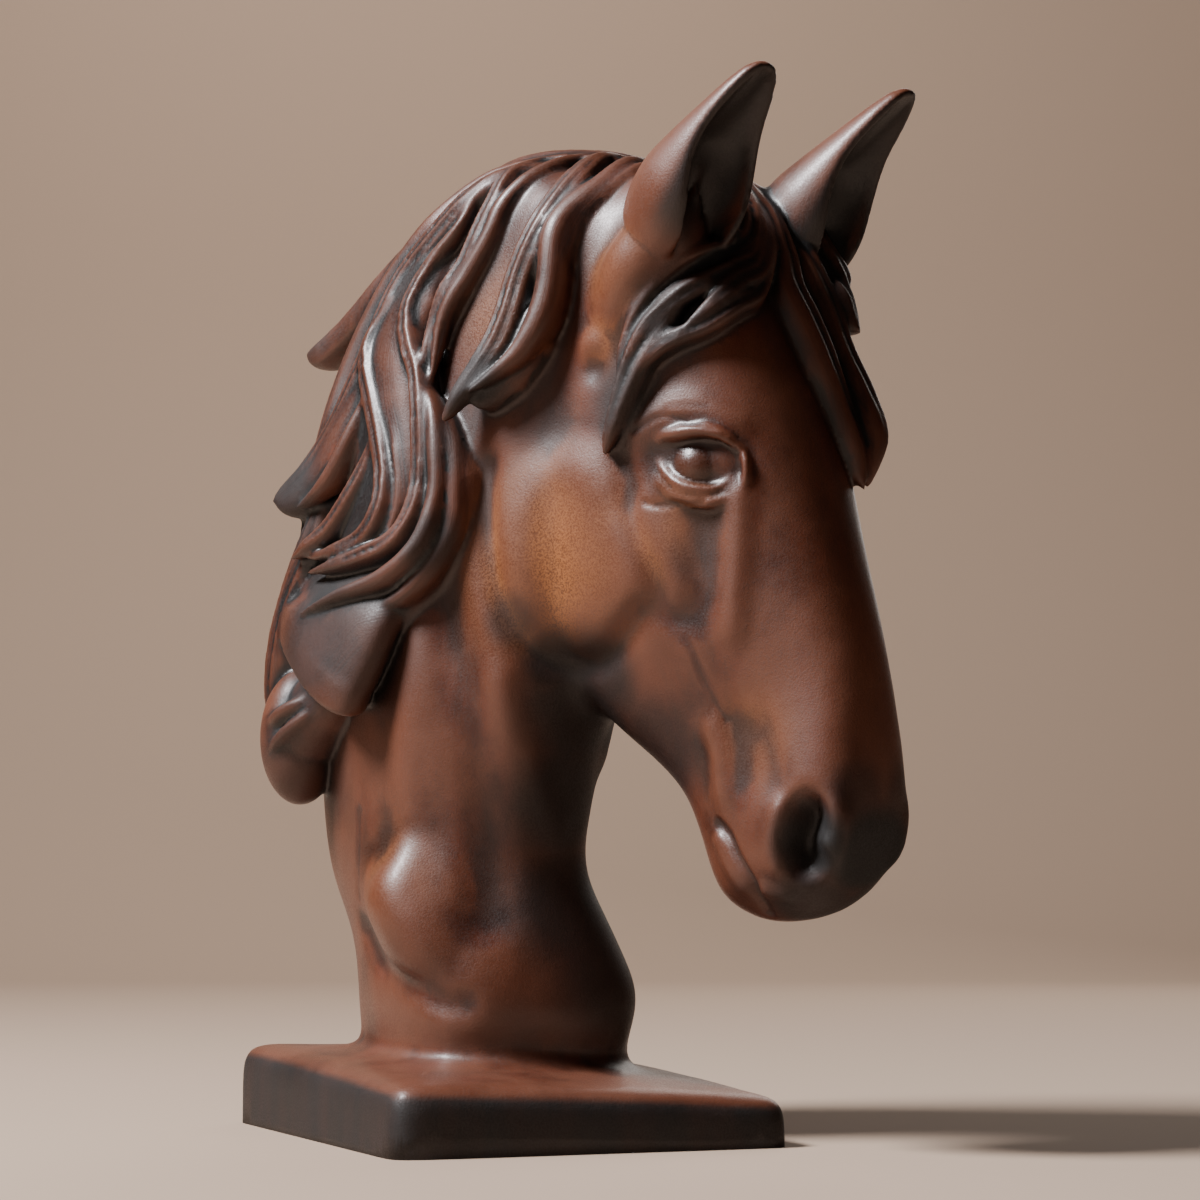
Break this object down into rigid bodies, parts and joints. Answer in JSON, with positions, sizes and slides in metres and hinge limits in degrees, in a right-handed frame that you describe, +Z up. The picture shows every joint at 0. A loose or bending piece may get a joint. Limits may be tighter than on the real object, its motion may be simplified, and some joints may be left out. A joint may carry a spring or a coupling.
{
  "type": "horse head bust",
  "caption": "Carved-look horse head and neck turned to its left, with a flowing mane, cast in one with a low rectangular foot.",
  "frame": {"origin": "centre of the flat underside of the foot", "axes": "+Z up, +X forwards along the long side of the foot, +Y to the horse's left; the head is turned 28 degrees from +X towards +Y"},
  "size_m": [0.2109, 0.1607, 0.3089],
  "materials": {
    "wood_brown_resin": "satin, hand-toned to look like dark carved wood, near black in the recesses"
  },
  "bodies": {
    "root": {"horse_head_bust": "wood_brown_resin"}
  },
  "joints": []
}
